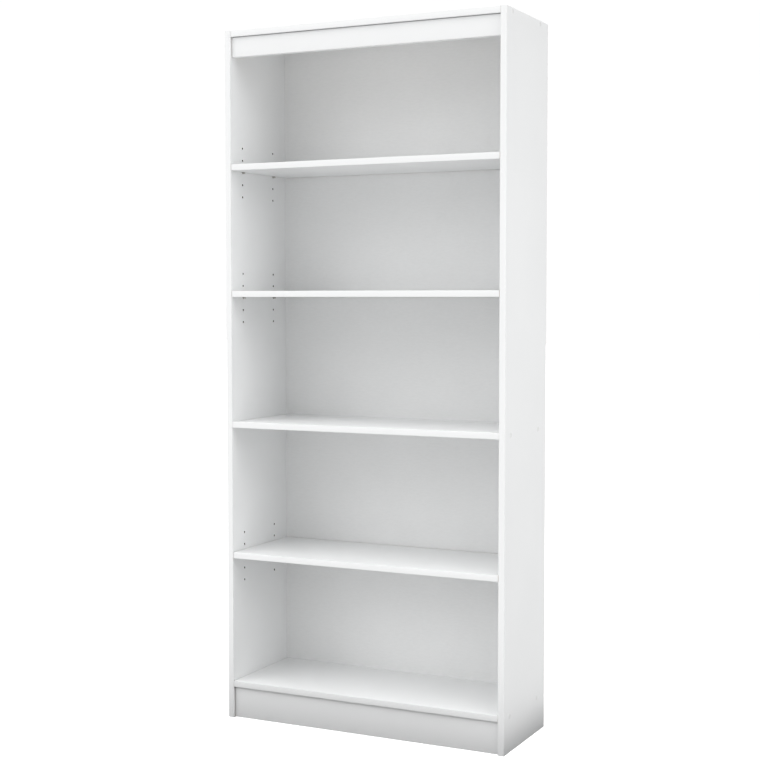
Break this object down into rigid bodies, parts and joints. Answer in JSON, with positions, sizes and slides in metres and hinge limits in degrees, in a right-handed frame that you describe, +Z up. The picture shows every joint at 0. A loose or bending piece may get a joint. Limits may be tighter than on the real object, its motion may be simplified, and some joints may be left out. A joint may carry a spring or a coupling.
{
  "type": "bookcase with adjustable shelves",
  "caption": "Tall open bookcase of white faced board, with a fixed middle shelf and loose shelves resting on pins in rows of holes.",
  "frame": {"origin": "on the floor under the middle of the case, halfway between front and rear", "axes": "+Z up, +X to the right of someone facing the shelves, -Y out of the open front"},
  "size_m": [0.788, 0.288, 1.81],
  "materials": {
    "melamine": "white melamine facing on particle board, satin",
    "back": "white faced hardboard, matt",
    "steel": "nickel plated",
    "zinc": "zinc plated",
    "plastic": "white moulded plastic",
    "beech": "bare beech, fluted dowel"
  },
  "bodies": {
    "case": {"left_side": "melamine", "right_side": "melamine", "top_board": "melamine", "bottom_board": "melamine", "fixed_shelf": "melamine", "top_rail": "melamine", "plinth": "melamine", "back_upper": "back", "back_lower": "back", "screw_top_left_front": "zinc", "screw_top_left_rear": "zinc", "screw_top_right_front": "zinc", "screw_top_right_rear": "zinc", "screw_middle_left_front": "zinc", "screw_middle_left_rear": "zinc", "screw_middle_right_front": "zinc", "screw_middle_right_rear": "zinc", "screw_bottom_left_front": "zinc", "screw_bottom_left_rear": "zinc", "screw_bottom_right_front": "zinc", "screw_bottom_right_rear": "zinc", "cap_top_left_front": "plastic", "cap_top_left_rear": "plastic", "cap_top_right_front": "plastic", "cap_top_right_rear": "plastic", "cap_middle_left_front": "plastic", "cap_middle_left_rear": "plastic", "cap_middle_right_front": "plastic", "cap_middle_right_rear": "plastic", "cap_bottom_left_front": "plastic", "cap_bottom_left_rear": "plastic", "cap_bottom_right_front": "plastic", "cap_bottom_right_rear": "plastic", "dowel_rail_left_upper": "beech", "dowel_rail_left_lower": "beech", "dowel_rail_right_upper": "beech", "dowel_rail_right_lower": "beech", "dowel_plinth_left_upper": "beech", "dowel_plinth_left_lower": "beech", "dowel_plinth_right_upper": "beech", "dowel_plinth_right_lower": "beech"},
    "upper_shelf_body": {"upper_shelf": "melamine"},
    "second_shelf_body": {"second_shelf": "melamine"},
    "lower_shelf_body": {"lower_shelf": "melamine"},
    "pin_upper_left_front_body": {"pin_upper_left_front": "steel"},
    "pin_upper_left_rear_body": {"pin_upper_left_rear": "steel"},
    "pin_upper_right_front_body": {"pin_upper_right_front": "steel"},
    "pin_upper_right_rear_body": {"pin_upper_right_rear": "steel"},
    "pin_second_left_front_body": {"pin_second_left_front": "steel"},
    "pin_second_left_rear_body": {"pin_second_left_rear": "steel"},
    "pin_second_right_front_body": {"pin_second_right_front": "steel"},
    "pin_second_right_rear_body": {"pin_second_right_rear": "steel"},
    "pin_lower_left_front_body": {"pin_lower_left_front": "steel"},
    "pin_lower_left_rear_body": {"pin_lower_left_rear": "steel"},
    "pin_lower_right_front_body": {"pin_lower_right_front": "steel"},
    "pin_lower_right_rear_body": {"pin_lower_right_rear": "steel"}
  },
  "joints": [
    {"name": "upper_shelf_slide", "type": "slide", "parent": "case", "child": "upper_shelf_body", "axis": [0, -1, 0], "range_m": [0, 0.3]},
    {"name": "second_shelf_slide", "type": "slide", "parent": "case", "child": "second_shelf_body", "axis": [0, -1, 0], "range_m": [0, 0.3]},
    {"name": "lower_shelf_slide", "type": "slide", "parent": "case", "child": "lower_shelf_body", "axis": [0, -1, 0], "range_m": [0, 0.3]},
    {"name": "pin_upper_left_front_pull", "type": "slide", "parent": "case", "child": "pin_upper_left_front_body", "axis": [1, 0, 0], "range_m": [0, 0.012]},
    {"name": "pin_upper_left_rear_pull", "type": "slide", "parent": "case", "child": "pin_upper_left_rear_body", "axis": [1, 0, 0], "range_m": [0, 0.012]},
    {"name": "pin_upper_right_front_pull", "type": "slide", "parent": "case", "child": "pin_upper_right_front_body", "axis": [-1, 0, 0], "range_m": [0, 0.012]},
    {"name": "pin_upper_right_rear_pull", "type": "slide", "parent": "case", "child": "pin_upper_right_rear_body", "axis": [-1, 0, 0], "range_m": [0, 0.012]},
    {"name": "pin_second_left_front_pull", "type": "slide", "parent": "case", "child": "pin_second_left_front_body", "axis": [1, 0, 0], "range_m": [0, 0.012]},
    {"name": "pin_second_left_rear_pull", "type": "slide", "parent": "case", "child": "pin_second_left_rear_body", "axis": [1, 0, 0], "range_m": [0, 0.012]},
    {"name": "pin_second_right_front_pull", "type": "slide", "parent": "case", "child": "pin_second_right_front_body", "axis": [-1, 0, 0], "range_m": [0, 0.012]},
    {"name": "pin_second_right_rear_pull", "type": "slide", "parent": "case", "child": "pin_second_right_rear_body", "axis": [-1, 0, 0], "range_m": [0, 0.012]},
    {"name": "pin_lower_left_front_pull", "type": "slide", "parent": "case", "child": "pin_lower_left_front_body", "axis": [1, 0, 0], "range_m": [0, 0.012]},
    {"name": "pin_lower_left_rear_pull", "type": "slide", "parent": "case", "child": "pin_lower_left_rear_body", "axis": [1, 0, 0], "range_m": [0, 0.012]},
    {"name": "pin_lower_right_front_pull", "type": "slide", "parent": "case", "child": "pin_lower_right_front_body", "axis": [-1, 0, 0], "range_m": [0, 0.012]},
    {"name": "pin_lower_right_rear_pull", "type": "slide", "parent": "case", "child": "pin_lower_right_rear_body", "axis": [-1, 0, 0], "range_m": [0, 0.012]}
  ]
}
